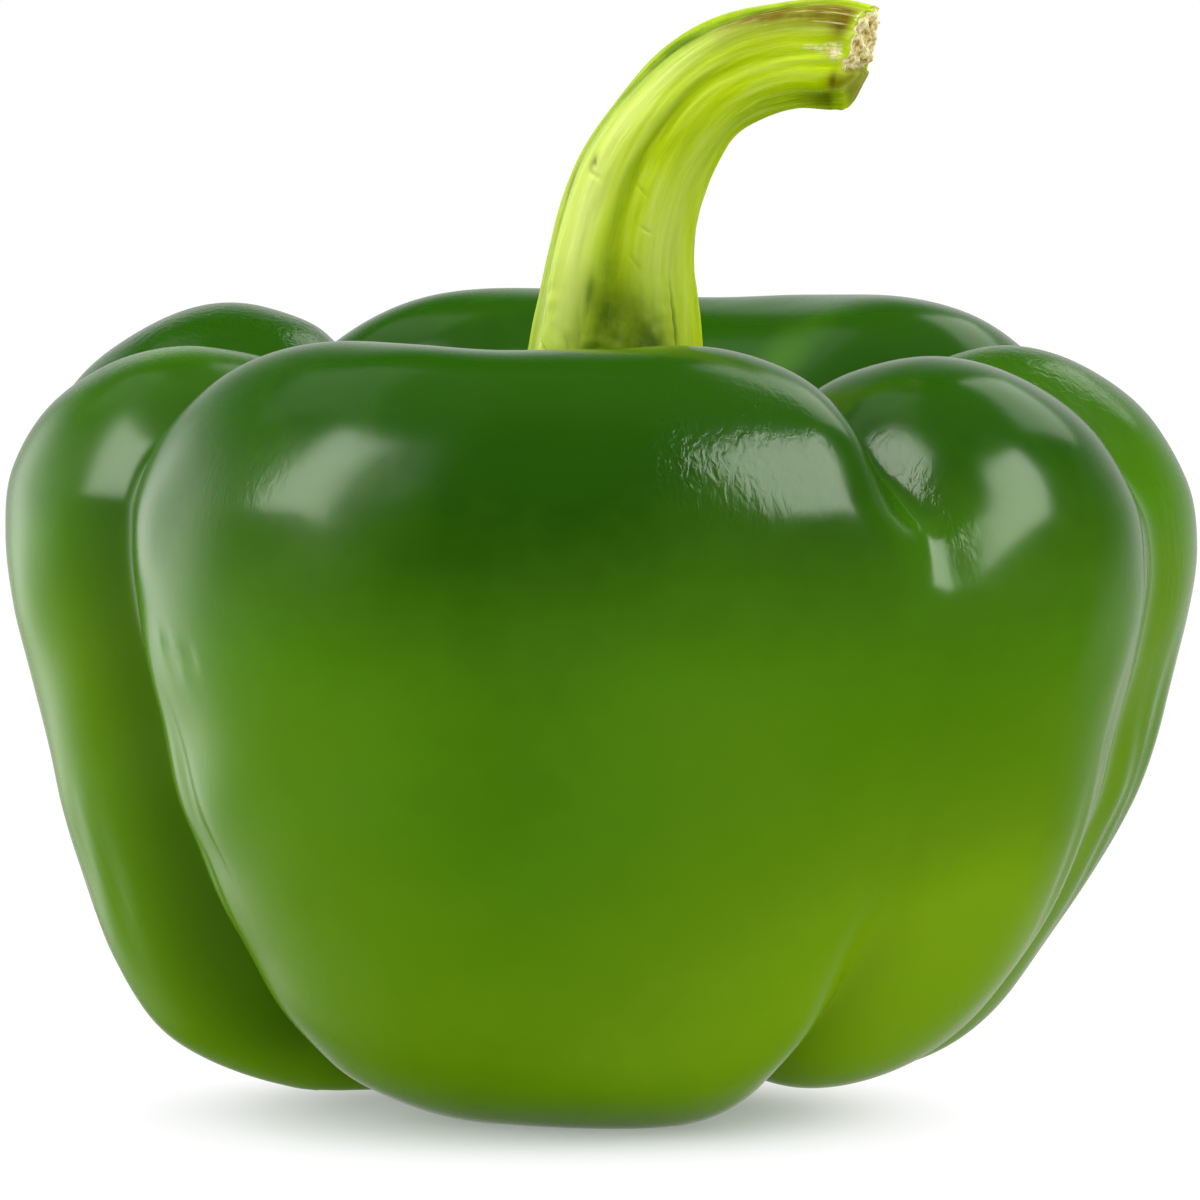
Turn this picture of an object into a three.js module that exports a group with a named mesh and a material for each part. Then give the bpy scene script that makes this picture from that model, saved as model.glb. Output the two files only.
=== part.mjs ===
import * as THREE from 'three';

// A green bell pepper, whole and uncut, standing on the feet of its lobes: the fruit, the calyx
// in the hollow at its top, and the thick curved stem. Millimetres, +Z up, +X to the right and
// -Y to the front. Azimuths are in degrees, from +X towards +Y.

// The meridian of an average lobe, as distance from the axis and height: from the middle of the
// hollow over the shoulder, down the side, under the foot and in to the blossom end.
const MERIDIAN = [
  [0, 50.5], [5, 50.4], [10, 50.6], [15, 52.6], [19.5, 56.2], [24.5, 59.8], [31, 61.4],
  [37.5, 60], [43.5, 55.6], [47.2, 49.5], [48, 43.5], [47.2, 37.5], [45, 30], [43.2, 22],
  [40.2, 13.5], [35.5, 6.2], [29, 1.6], [22, 0], [15, 1.6], [8, 4.6], [0, 6.2],
];

// The lobes: where each one is, how far it reaches as a share of the meridian, on its side and
// at its foot, and how much higher its crest and its foot are than the meridian's.
const LOBES = [
  { at: 190, reach: 1.07, footReach: 1.12, crestRise: 2.3, footRise: -3.3 },
  { at: 232, reach: 1.02, footReach: 0.94, crestRise: 3.1, footRise: -1 },
  { at: 286, reach: 0.975, footReach: 0.97, crestRise: 2.9, footRise: -1 },
  { at: 325, reach: 1.01, footReach: 0.94, crestRise: -0.1, footRise: 0.8 },
  { at: 4, reach: 1.045, footReach: 0.955, crestRise: 0.6, footRise: -0.7 },
  { at: 45, reach: 1.04, footReach: 0.98, crestRise: 2.4, footRise: -0.9 },
  { at: 105, reach: 0.97, footReach: 1, crestRise: 2.4, footRise: -1 },
  { at: 155, reach: 1.05, footReach: 1, crestRise: 3.1, footRise: -2.5 },
];

// The grooves between them: how wide each one is, how deep at the crest, the side and the foot,
// how round its bottom is, and how near to the axis it runs.
const GROOVES = [
  { at: 20, width: 10, crest: 7, side: 5, foot: 6, round: 0.25, start: 5 },
  { at: 78, width: 18, crest: 2, side: 0.8, foot: 0.8, round: 1.2, start: 11 },
  { at: 134, width: 11, crest: 7.5, side: 7, foot: 7, round: 0.25, start: 5 },
  { at: 174, width: 10, crest: 5, side: 4.5, foot: 4.5, round: 0.3, start: 11 },
  { at: 207, width: 10, crest: 8, side: 9, foot: 12.5, round: 0.25, start: 6 },
  { at: 262, width: 22, crest: 3, side: 0.8, foot: 0.6, round: 1.2, start: 11 },
  { at: 306, width: 6.5, crest: 7.4, side: 1.8, foot: 5, round: 0.4, start: 7 },
  { at: 346, width: 9, crest: 5, side: 3.2, foot: 2.6, round: 0.3, start: 9 },
];
const GROOVE_SET_IN = 18; // distance over which a groove comes to its full depth
const LOBE_HOLD = 14; // how firmly a lobe keeps its own values towards its neighbours
const FOOT_TO_SIDE = [0, 30]; // heights between which the reach goes from foot to side
const CREST_HEIGHTS = [20, 58]; // heights between which the crest's rise sets in
const CREST_RADII = [6, 26]; // and distances from the axis, on the hollow's side
const FOOT_HEIGHTS = [0, 22]; // heights between which the foot's rise fades out
const REACH_RADII = [0, 20]; // distances from the axis between which the reach sets in
const GROOVE_CREST_HEIGHTS = [38, 58];
const GROOVE_FOOT_HEIGHTS = [2, 26];
const FRUIT_RINGS = 38;
const DEGREES_A_STEP = 3.9;
const CROWDING = 0.45; // how much closer the steps are beside a groove

// The calyx: a thin saucer of six fused sepals that follows the hollow.
const CALYX_TOP = 53.1; // height of its flat middle
const CALYX_SEAT = 9.4; // radius of the flat middle, which the stem stands on
const CALYX_RADIUS = 11.6;
const SEPAL_LENGTH = 3.6; // how far the points stand out beyond that radius
const SEPALS = 6;
const SEPAL_TURN = 17;
const SEPAL_SHARPNESS = 3;
const SEPAL_RIDGE = 0.35;
const CALYX_RIM = 0.9; // thickness at the rim
const CALYX_TOP_RINGS = [0.3, 0.55, 0.66, 0.78, 0.9, 1];
const CALYX_UNDER_RINGS = [1, 0.8, 0.55, 0.3];
const GAP = 0.4; // room between the calyx and the fruit
const HOLLOW_SCALE = 100; // in the hollow the meridian's 0 to 1 times this is the distance out

// The stem's middle line as x, y, z, and its radius there.
const SPINE = [
  [0.7, 0, 53.4, 8.5], [0.8, 0, 56, 7.3], [1.1, 0, 60, 6.7], [1.4, 0, 66.6, 5.8],
  [2.6, -0.1, 72, 5.2], [4.7, -0.3, 76.3, 4.75], [7.8, -0.8, 80.1, 4.4], [11.4, -1.4, 82.4, 4.2],
  [15.1, -2.2, 83.4, 4.15], [18.4, -3.1, 83.5, 4.3], [20.4, -3.7, 83.3, 4.1],
];
// The ribs along it: how many, how high as a share of the radius, where, and their twist.
const RIBS = [
  { count: 5, height: 0.06, at: 6, twist: 4 },
  { count: 3, height: 0.02, at: 0, twist: 20 },
];
const STEM_SIDES = 30;
const STEM_RINGS = 34;
// The cut end: rings that round the skin over and rise again to the dry fibrous core, each as
// a share of the radius and a distance along the stem.
const CUT_END = [[0.93, 0.55], [0.78, 0.7], [0.64, 0.35], [0.45, 0.75]];
const CORE_STANDS = 0.85;
// The cut is slanted: its upper edge is further along than its lower one, by this share.
const CUT_SLANT = 0.18;
const CUT_SLANT_FROM = 0.88;

const { degToRad, clamp, smoothstep } = THREE.MathUtils;

// A smooth curve through rows of numbers, at t from 0 to 1, by Catmull-Rom.
function along(rows, t) {
  const last = rows.length - 1;
  const from = Math.min(Math.floor(t * last), last - 1);
  const f = t * last - from;
  const row = (step) => rows[clamp(from + step, 0, last)];
  return rows[0].map((_, k) => {
    const [before, start, end, after] = [row(-1)[k], row(0)[k], row(1)[k], row(2)[k]];
    const square = 2 * before - 5 * start + 4 * end - after;
    const cube = 3 * (start - end) + after - before;
    return start + 0.5 * f * (end - before + f * (square + f * cube));
  });
}

// One of the lobes' values at an azimuth, passing smoothly from lobe to lobe.
function ofLobes(azimuth, value) {
  let sum = 0;
  let weights = 0;
  for (const lobe of LOBES) {
    const weight = Math.exp(LOBE_HOLD * (Math.cos(degToRad(azimuth - lobe.at)) - 1));
    sum += weight * lobe[value];
    weights += weight;
  }
  return sum / weights;
}

// How deep the grooves together are at an azimuth, a height and a distance from the axis.
function grooveDepth(azimuth, height, radius) {
  const crest = smoothstep(height, ...GROOVE_CREST_HEIGHTS);
  const foot = 1 - smoothstep(height, ...GROOVE_FOOT_HEIGHTS);
  let depth = 0;
  for (const groove of GROOVES) {
    const away = (((azimuth - groove.at) % 360) + 540) % 360 - 180;
    const fall = Math.exp(groove.round - Math.hypot(away / groove.width, groove.round));
    const full = groove.crest * crest + groove.side * (1 - crest - foot) + groove.foot * foot;
    depth += fall * full * smoothstep(radius, groove.start, groove.start + GROOVE_SET_IN);
  }
  return depth;
}

// A point of the fruit's surface: t runs along the meridian from the top to the blossom end.
function fruitPoint(azimuth, t) {
  const [radius, height] = along(MERIDIAN, t);
  const small = 1e-4;
  const ahead = along(MERIDIAN, Math.min(t + small, 1));
  const behind = along(MERIDIAN, Math.max(t - small, 0));
  const out = new THREE.Vector2(behind[1] - ahead[1], ahead[0] - behind[0]).normalize();
  const side = smoothstep(height, ...FOOT_TO_SIDE);
  const reach = side * ofLobes(azimuth, 'reach') + (1 - side) * ofLobes(azimuth, 'footReach');
  const crest = smoothstep(height, ...CREST_HEIGHTS) * smoothstep(radius, ...CREST_RADII);
  const foot = 1 - smoothstep(height, ...FOOT_HEIGHTS);
  const rise = crest * ofLobes(azimuth, 'crestRise') + foot * ofLobes(azimuth, 'footRise');
  const depth = grooveDepth(azimuth, height, radius);
  const r = radius * (1 + (reach - 1) * smoothstep(radius, ...REACH_RADII)) - depth * out.x;
  // The feet are pressed flat where they would reach below the surface that they stand on.
  const z = Math.max(height + rise - depth * out.y, 0);
  return new THREE.Vector3(
    r * Math.cos(degToRad(azimuth)), r * Math.sin(degToRad(azimuth)), z,
  );
}

// The azimuths of the mesh lines: one in the bottom of each groove and more crowded beside it.
function meshAzimuths() {
  return GROOVES.flatMap((groove, i) => {
    const next = i + 1 < GROOVES.length ? GROOVES[i + 1].at : GROOVES[0].at + 360;
    const span = next - groove.at;
    const steps = Math.round(span / DEGREES_A_STEP);
    return Array.from({ length: steps }, (_, k) => {
      const t = k / steps;
      return groove.at + span * (t - CROWDING * Math.sin(2 * Math.PI * t) / (2 * Math.PI));
    });
  });
}

// A closed skin over rings of points that run anticlockwise, between two end points.
function closedSkin(first, rings, last) {
  const sides = rings[0].length;
  const faces = [];
  const lastIndex = 1 + rings.length * sides;
  const at = (ring, side) => 1 + ring * sides + (side % sides);
  for (let side = 0; side < sides; side += 1) {
    faces.push(0, at(0, side), at(0, side + 1));
    for (let ring = 0; ring + 1 < rings.length; ring += 1) {
      faces.push(at(ring, side), at(ring + 1, side), at(ring + 1, side + 1));
      faces.push(at(ring, side), at(ring + 1, side + 1), at(ring, side + 1));
    }
    faces.push(at(rings.length - 1, side), lastIndex, at(rings.length - 1, side + 1));
  }
  const geometry = new THREE.BufferGeometry();
  geometry.setFromPoints([first, ...rings.flat(), last]);
  geometry.setIndex(faces);
  geometry.computeVertexNormals();
  return geometry;
}

function fruitGeometry(azimuths) {
  const rings = Array.from({ length: FRUIT_RINGS }, (_, k) => {
    const t = (k + 1) / (FRUIT_RINGS + 1);
    return azimuths.map((azimuth) => fruitPoint(azimuth, t));
  });
  return closedSkin(fruitPoint(0, 0), rings, fruitPoint(0, 1));
}

function calyxEdge(azimuth) {
  const wave = Math.abs(Math.cos(degToRad(SEPALS * (azimuth - SEPAL_TURN)) / 2));
  return CALYX_RADIUS + SEPAL_LENGTH * wave ** SEPAL_SHARPNESS;
}

function calyxUnder(azimuth, share) {
  const point = fruitPoint(azimuth, (share * calyxEdge(azimuth)) / HOLLOW_SCALE);
  point.z += GAP;
  return point;
}

// The upper face is flat under the stem, then thins to the rim, with a ridge along each sepal.
function calyxUpper(azimuth, share) {
  const point = calyxUnder(azimuth, share);
  const out = smoothstep(share * calyxEdge(azimuth), CALYX_SEAT, CALYX_RADIUS);
  const ridge = SEPAL_RIDGE * Math.cos(degToRad(SEPALS * (azimuth - SEPAL_TURN)));
  point.z = (1 - out) * CALYX_TOP + out * (point.z + CALYX_RIM + ridge);
  return point;
}

function calyxGeometry(azimuths) {
  const upper = CALYX_TOP_RINGS.map((share) => azimuths.map((a) => calyxUpper(a, share)));
  const under = CALYX_UNDER_RINGS.map((share) => azimuths.map((a) => calyxUnder(a, share)));
  return closedSkin(calyxUpper(0, 0), [...upper, ...under], calyxUnder(0, 0));
}

// A ring round the stem's middle line, at t along it, with its ribs.
function stemRing(t, share, onwards) {
  const [x, y, z, radius] = along(SPINE, t);
  const small = 1e-3;
  const ahead = new THREE.Vector3(...along(SPINE, Math.min(t + small, 1)));
  const behind = new THREE.Vector3(...along(SPINE, Math.max(t - small, 0)));
  const tangent = t === 0 ? new THREE.Vector3(0, 0, 1) : ahead.sub(behind).normalize();
  const right = new THREE.Vector3(0, 1, 0).cross(tangent).normalize();
  const back = tangent.clone().cross(right);
  const middle = new THREE.Vector3(x, y, z).addScaledVector(tangent, onwards);
  const slant = CUT_SLANT * smoothstep(t, CUT_SLANT_FROM, 1);
  const across = right.clone().addScaledVector(tangent, -slant);
  return Array.from({ length: STEM_SIDES }, (_, side) => {
    const turn = (side / STEM_SIDES) * 360;
    const angle = degToRad(turn);
    const ribs = RIBS.reduce((sum, rib) => (
      sum + rib.height * Math.cos(degToRad(rib.count * (turn - rib.at - rib.twist * t)))
    ), 1);
    return middle.clone()
      .addScaledVector(across, radius * share * ribs * Math.cos(angle))
      .addScaledVector(back, radius * share * ribs * Math.sin(angle));
  });
}

function stemGeometry() {
  const body = Array.from({ length: STEM_RINGS }, (_, k) => stemRing(k / (STEM_RINGS - 1), 1, 0));
  const end = CUT_END.map(([share, onwards]) => stemRing(1, share, onwards));
  const rings = [...body, ...end].reverse();
  return closedSkin(stemRing(1, 0, CORE_STANDS)[0], rings, stemRing(0, 0, 0)[0]);
}

function piece(name, geometry, color, roughness) {
  const material = new THREE.MeshStandardMaterial({ color, roughness, metalness: 0 });
  const mesh = new THREE.Mesh(geometry, material);
  mesh.name = name;
  return mesh;
}

const azimuths = meshAzimuths();
const fruit = piece('fruit', fruitGeometry(azimuths), 0x4e7d00, 0.22);
const calyx = piece('calyx', calyxGeometry(azimuths), 0x7d9c1e, 0.5);
const stem = piece('stem', stemGeometry(), 0xb2cb2a, 0.45);

// The origin is below the middle of the fruit, on the surface that it stands on.
const middle = new THREE.Box3().setFromObject(fruit).getCenter(new THREE.Vector3());
const pepper = new THREE.Group();
pepper.position.set(-middle.x, -middle.y, 0);
pepper.add(fruit, calyx, stem);

export default pepper;
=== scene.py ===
"""A green bell pepper with its calyx and curved stem, standing on a white light table."""

import bpy
import numpy as np
from bpy.props import FloatProperty, FloatVectorProperty, IntProperty, PointerProperty
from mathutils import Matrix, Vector


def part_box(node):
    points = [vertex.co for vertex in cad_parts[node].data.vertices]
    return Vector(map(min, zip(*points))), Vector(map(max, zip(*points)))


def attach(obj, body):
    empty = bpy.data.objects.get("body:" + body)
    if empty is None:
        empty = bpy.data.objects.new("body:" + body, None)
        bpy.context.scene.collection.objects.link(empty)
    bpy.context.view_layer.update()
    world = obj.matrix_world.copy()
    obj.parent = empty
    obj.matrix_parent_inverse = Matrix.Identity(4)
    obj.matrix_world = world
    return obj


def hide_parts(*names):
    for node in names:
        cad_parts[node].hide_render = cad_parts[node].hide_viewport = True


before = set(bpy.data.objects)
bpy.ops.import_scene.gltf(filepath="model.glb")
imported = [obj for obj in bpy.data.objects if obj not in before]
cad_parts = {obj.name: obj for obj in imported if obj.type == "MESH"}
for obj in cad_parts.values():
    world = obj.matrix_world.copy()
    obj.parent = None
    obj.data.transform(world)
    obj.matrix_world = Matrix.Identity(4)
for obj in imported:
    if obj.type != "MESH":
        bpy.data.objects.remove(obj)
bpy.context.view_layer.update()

bl_info = {
    "name": "Bell pepper",
    "version": (1, 0, 0),
    "blender": (4, 5, 0),
    "location": "3D View > Sidebar > Pepper",
    "description": "Grows a green bell pepper with its calyx and stem, in a white studio",
    "category": "Add Mesh",
}

MM = 0.001

# The fruit's form, in millimetres and degrees, is that of its solid. The meridian of an average
# lobe is distance from the axis and height, from the hollow over the shoulder to the blossom end.
MERIDIAN = (
    (0, 50.5), (5, 50.4), (10, 50.6), (15, 52.6), (19.5, 56.2), (24.5, 59.8), (31, 61.4),
    (37.5, 60), (43.5, 55.6), (47.2, 49.5), (48, 43.5), (47.2, 37.5), (45, 30), (43.2, 22),
    (40.2, 13.5), (35.5, 6.2), (29, 1.6), (22, 0), (15, 1.6), (8, 4.6), (0, 6.2),
)

# Lobes: azimuth, reach on the side, reach at the foot, rise of the crest, rise of the foot.
LOBES = (
    (190, 1.07, 1.12, 2.3, -3.3),
    (232, 1.02, 0.94, 3.1, -1),
    (286, 0.975, 0.97, 2.9, -1),
    (325, 1.01, 0.94, -0.1, 0.8),
    (4, 1.045, 0.955, 0.6, -0.7),
    (45, 1.04, 0.98, 2.4, -0.9),
    (105, 0.97, 1, 2.4, -1),
    (155, 1.05, 1, 3.1, -2.5),
)
REACH, FOOT_REACH, CREST_RISE, FOOT_RISE = 1, 2, 3, 4

# Grooves: azimuth, width, depth at the crest, on the side and at the foot, roundness of the
# bottom, and how near to the axis it runs.
GROOVES = (
    (20, 10, 7, 5, 6, 0.25, 5),
    (78, 18, 2, 0.8, 0.8, 1.2, 11),
    (134, 11, 7.5, 7, 7, 0.25, 5),
    (174, 10, 5, 4.5, 4.5, 0.3, 11),
    (207, 10, 8, 9, 12.5, 0.25, 6),
    (262, 22, 3, 0.8, 0.6, 1.2, 11),
    (306, 6.5, 7.4, 1.8, 5, 0.4, 7),
    (346, 9, 5, 3.2, 2.6, 0.3, 9),
)
GROOVE_SET_IN = 18
LOBE_HOLD = 14
FOOT_TO_SIDE = (0, 30)
CREST_HEIGHTS = (20, 58)
CREST_RADII = (6, 26)
FOOT_HEIGHTS = (0, 22)
REACH_RADII = (0, 20)
GROOVE_CREST_HEIGHTS = (38, 58)
GROOVE_FOOT_HEIGHTS = (2, 26)
CROWDING = 0.45
# Mesh lines round the fruit and rings, when only its box is wanted.
SURVEY_GRID = (360, 120)
SHORT_STEP = 1e-4
LEAST_LENGTH = 1e-9

# The skin keeps to the plain form near the flats that it stands on, and near the calyx: heights
# and distances from the axis between which its relief sets in.
RELIEF_HEIGHTS = (0.4, 5)
RELIEF_RADII = (16, 24)
# Width of the broad and the fine unevenness, and how high the fine one is beside the broad one.
BROAD_UNEVENNESS = 26
FINE_UNEVENNESS = 9
FINE_SHARE = 0.25
# Ripeness at the feet, and the heights between which it falls and how much. The skin is painted
# darker on the shoulders and lighter towards the feet: partly its own colour, partly painted shade
# on the shoulders and painted light on the lower skin.
RIPENESS_AND_LIGHT_AT_FOOT = 0.8
RIPENESS_AND_LIGHT_FALLS = (
    (2, 30, 0.3),
    (31, 58, 0.5),
)
# Depths of groove between which the skin takes on its crease colour, a painted shade in the bottoms
# of the grooves.
CREASE_SHADE_DEPTHS = (3.5, 9)

# Nicks and creases in the skin: azimuth, height, width, length and depth in millimetres, where a
# depth below zero is a ridge, and lean in degrees from the meridian.
SKIN_NICKS = (
    (222, 38.6, 0.35, 1.4, 0.3, 14),
    (223.6, 37.6, 0.3, 1, 0.22, -30),
    (226, 37.9, 0.3, 1.2, 0.25, -12),
    (224.5, 36.2, 0.4, 0.9, -0.15, 4),
    (220, 26, 0.9, 7, 0.4, 7),
    (222.5, 23, 0.8, 6, 0.28, 12),
    (218.5, 19, 0.8, 5, 0.25, 2),
    (338, 46, 0.8, 4.5, 0.16, -6),
    (341, 45, 0.8, 5.5, 0.2, -4),
    (336, 28, 0.9, 7, 0.3, 6),
    (339.5, 24, 1, 8, 0.35, 9),
    (333.5, 20, 0.9, 6, 0.22, 8),
    (356, 27, 0.9, 7, 0.4, 5),
    (353.5, 22, 1, 8, 0.3, 8),
    (196, 17, 0.9, 6, 0.3, -8),
    (193, 21, 0.8, 5, 0.22, -10),
    (184, 30, 1.1, 7, 0.35, -5),
    (180.5, 33, 0.9, 6, 0.3, 0),
    (187.5, 12, 1, 5, 0.35, -8),
    (62, 34, 1, 7, 0.35, 6),
    (98, 26, 1, 6, 0.3, -5),
    (118, 40, 0.9, 5, 0.25, 8),
)
# Soft swells: azimuth, height, spread in degrees and in millimetres, how far they stand out.
SKIN_SWELLS = (
    (298, 55, 7, 5, 1.3),
    (318, 54, 18, 6, 0.9),
    (331, 53, 9, 8, 0.5),
)
# Fields of fine crinkles: azimuth, height, spread in degrees and in millimetres, strength.
CRINKLES = (
    (278, 55, 2.6, 4, 1),
    (286, 57.5, 6, 2.2, 0.6),
    (293, 53, 1.5, 4, 0.5),
    (284, 52, 7, 4, 0.6),
    (350, 44, 4, 12, 0.35),
    (309, 50, 1.6, 4.5, 0.9),
    (233, 52, 6, 4, 0.35),
    (160, 60, 9, 2, 0.9),
    (184, 59, 9, 2.5, 0.8),
    (352, 58, 10, 3.5, 0.8),
    (62, 50, 14, 6, 0.7),
    (112, 40, 12, 10, 0.6),
)
# Patches where the skin is riper (above zero) or greener, and patches of painted light and shade:
# azimuth, height, spread, how much.
RIPENESS_LIGHT_AND_SHADE_PATCHES = (
    # Painted glow of light through the thin skin at the right foot.
    (322, 15, 17, 11, 0.33),
    (300, 14, 24, 14, 0.2),
    (264, 32, 13, 18, -0.14),
    (202, 38, 13, 15, 0.28),
    (190, 60.4, 9, 1.2, 0.15),
    # Painted reflection of a light on the inner wall of the back lobe, in the hollow.
    (45, 57.4, 6.5, 2.6, 0.16),
    # Painted shade in the hollow's valley beside that reflection.
    (30, 57, 8, 4, -0.2),
    (350, 42, 10, 14, 0.32),
    (347, 22, 8, 10, 0.22),
    (60, 18, 20, 10, 0.2),
    (140, 12, 16, 9, 0.16),
)

# The calyx, as its solid.
CALYX_TOP = 53.1
CALYX_SEAT = 9.4
CALYX_RADIUS = 11.6
SEPAL_LENGTH = 3.6
SEPALS = 6
SEPAL_TURN = 17
SEPAL_SHARPNESS = 3
CALYX_RIM = 0.9
CALYX_GAP = 0.4
CALYX_RIM_THINNING = 0.6
HOLLOW_SCALE = 100
VEINS_A_SEPAL = 3
VEIN_SHARPNESS = 8
# Shares of the way to the calyx's edge: where its rings run, and how many, above and below; where
# its rim thins; where its veins rise, sink again, and take on their colour.
UPPER_RINGS = (0.04, 1, 44)
UNDER_RINGS = (1, 0.06, 14)
RIM_THINS = (0.8, 1)
VEINS_RISE = (0.45, 0.8)
VEINS_SINK = (0.9, 1)
VEINS_PALE = (0.5, 0.75)

# The stem's middle line as x, y, z, and its radius there. Turns round it go from its inner side,
# the bend's, over the back; 270 faces the front.
SPINE = (
    (0.7, 0, 52.9, 8.9), (0.8, 0, 56, 7.3), (1.1, 0, 60, 6.7), (1.4, 0, 66.6, 5.8),
    (2.6, -0.1, 72, 5.2), (4.7, -0.3, 76.3, 4.75), (7.8, -0.8, 80.1, 4.4), (11.4, -1.4, 82.4, 4.2),
    (15.1, -2.2, 83.4, 4.15), (18.4, -3.1, 83.5, 4.3), (20.4, -3.7, 83.3, 4.1),
)
# Ribs: how many, how high as a share of the radius, where, and their twist.
RIBS = (
    (5, 0.06, 6, 4),
    (3, 0.02, 0, 20),
)
CUT_SLANT = 0.18
CUT_SLANT_FROM = 0.88
# The finer mesh keeps this far below the top of the stem's box.
BOX_INSET = 0.03
SPINE_STEP = 1e-3

# The stem's skin. Its fibres, by a distance from the axis that spaces them and how much they are
# drawn out, and their widths; then its lumps, and the wrinkles across it near its base.
GRAIN_RADIUS = 5
GRAIN_STRETCH = 0.1
FIBRE_WIDTHS = (1.1, 0.5)
FINE_FIBRE_SHARE = 0.6
LUMP_SIZE = 5
LUMP_HEIGHT = 0.1
LUMP_SHORTENING = (1, 1, 6)
WRINKLE_TURN_SCALE = 0.08
WRINKLE_SIZES = (7, 1.3)
WRINKLE_HEIGHT = 0.05
WRINKLES_AT = 0.22
WRINKLES_SPREAD = 0.08
WRINKLES_SHOW = (-0.3, 0.8)

# The stem's end, by shares of its radius: the rings that close it as first share, last share and
# how many, where the knob sets in below the cut, and where the crease between them lies.
END_RINGS = (
    (0.985, 0.85, 8),
    (0.8, 0.05, 22),
)
KNOB_SETS_IN = (0.14, 0.34)
KNOB_HEIGHT = 1.15
CREASE_AT = 0.2
CREASE_SPREAD = 0.07
CREASE_DEPTH = 0.45
CUT_RISE = 0.35
CUT_EDGE_SHARPNESS = 12
CUT_BARE = (1, 0.93)
# Roughness of the cut face: size and height of the bumps, and the seed and number of waves.
CUT_BUMPS = (
    (1.3, 0.16, 31, 30),
    (0.6, 0.1, 32, 40),
)

# The green of the stem's grooves: how low the ribs are where it shows, and where it is deepest,
# how far that reaches round, and what is left of it elsewhere.
GROOVE_SHOWS = (0.01, 0.09)
DEEP_GROOVE = 260
DEEP_GROOVE_SPREAD = 36
ELSEWHERE = 0.2
# The brown skin's last share of the way in from the end's rim, and its strength there.
BROWN_RIM = (1, 0.8)
BROWN_RIM_STRENGTH = 0.7

# Marks on the stem: share of its length, turn, spread of both, strength.
PALE_BANDS = (
    (0.3, 236, 0.16, 14, 0.8),
    (0.55, 228, 0.2, 13, 0.85),
    (0.35, 205, 0.35, 16, 0.6),
    (0.33, 296, 0.14, 14, 0.4),
    (0.35, 322, 0.11, 20, 0.45),
    (0.58, 322, 0.16, 24, 0.2),
    (0.45, 80, 0.3, 12, 0.7),
    (0.35, 150, 0.25, 9, 0.5),
)
OLIVE_PATCHES_AND_SHADE = (
    (0.42, 261, 0.17, 6, 0.4),
    (0.6, 258, 0.1, 5, 0.25),
    (0.19, 278, 0.08, 34, 1.5),
    (0.3, 268, 0.1, 12, 0.2),
    # Painted shade along the stem's outer edge, at the back of the bend; partly its own olive
    # patches.
    (0.45, 184, 0.38, 26, 0.5),
    (0.85, 196, 0.2, 36, 0.6),
    (0.66, 190, 0.2, 30, 0.42),
    (0.62, 212, 0.16, 18, 0.2),
    (0.24, 321, 0.05, 2.5, 0.7),
    (0.27, 250, 0.02, 5, 0.5),
    (0.93, 335, 0.06, 26, 0.9),
    (0.25, 100, 0.05, 14, 0.7),
)
BROWN_PATCHES = (
    (0.79, 214, 0.09, 20, 1.3),
    (0.91, 212, 0.07, 24, 1.3),
    (0.95, 238, 0.03, 16, 0.7),
    (0.985, 300, 0.03, 14, 1),
    (0.9, 340, 0.08, 22, 0.5),
    (0.43, 222, 0.012, 4, 0.7),
    (0.38, 184, 0.02, 6, 0.6),
    (0.88, 140, 0.08, 30, 0.8),
    (0.95, 60, 0.05, 30, 0.8),
)
DRY_PATCHES = (
    (0.88, 262, 0.05, 9, 0.5),
    (0.96, 264, 0.045, 16, 0.7),
    (1, 215, 0.03, 30, 0.6),
    (1, 150, 0.03, 30, 0.6),
)
# Nicks and wrinkles: share of the length, turn, then width, length and depth in millimetres,
# and lean in degrees from lengthwise.
STEM_NICKS = (
    (0.19, 219, 0.16, 1.6, 0.35, 62),
    (0.2, 238, 0.14, 1.3, 0.2, 20),
    (0.22, 244, 0.2, 2.2, 0.28, 4),
    (0.25, 249, 0.18, 2, 0.22, -6),
    (0.24, 321, 0.2, 3.4, 0.3, 0),
    (0.43, 224, 0.14, 0.5, 0.2, 50),
    (0.415, 229, 0.14, 0.6, 0.18, 80),
    (0.42, 276, 0.12, 0.7, 0.14, 60),
    (0.31, 283, 0.12, 0.8, 0.14, 40),
    (0.36, 288, 0.12, 0.6, 0.12, 70),
    (0.95, 279, 0.3, 2.6, 0.5, 0),
    (0.5, 150, 0.16, 2, 0.2, 10),
    (0.3, 60, 0.18, 2.4, 0.25, -6),
)

# The dried end of the blossom, as distance from the axis and height.
SCAR_PROFILE = (
    (0.9, 6.5), (1.7, 6.3), (2.2, 5.9), (2.3, 5.5), (1.9, 5.2), (1.3, 5.1), (0.8, 4.9),
    (0.5, 4.5), (0.35, 4),
)
SCAR_STEPS_AROUND = 72
SCAR_RINGS = 30
CORK_BUMPS = 1.4

# The camera, in metres from the middle of the lobes' axis.
CAMERA_BACK = 0.9
CAMERA_HEIGHT = 0.1307
CAMERA_TARGET_HEIGHT = 0.0393
PHOTO_SPAN = 0.0966
SENSOR = 36

# The cards that make the highlights and only glint: name, azimuth from the camera's side,
# elevation, width and height in metres, and how bright they are, where the surround is 1.
CARDS = (
    ("card_left", -60, 42, 0.36, 0.7, 13.5),
    ("card_right", 60, 44, 0.6, 0.62, 12),
    ("card_back_left", -128, 61, 0.4, 0.4, 0.8),
    ("card_back_right", 146, 42, 0.4, 0.4, 2.2),
)
SOFTBOX = ("softbox", 180, 74, 0.7, 0.7, 8)
LIGHT_TINT = (0.95, 1, 0.88)
BOARD_SIDES = 128


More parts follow.
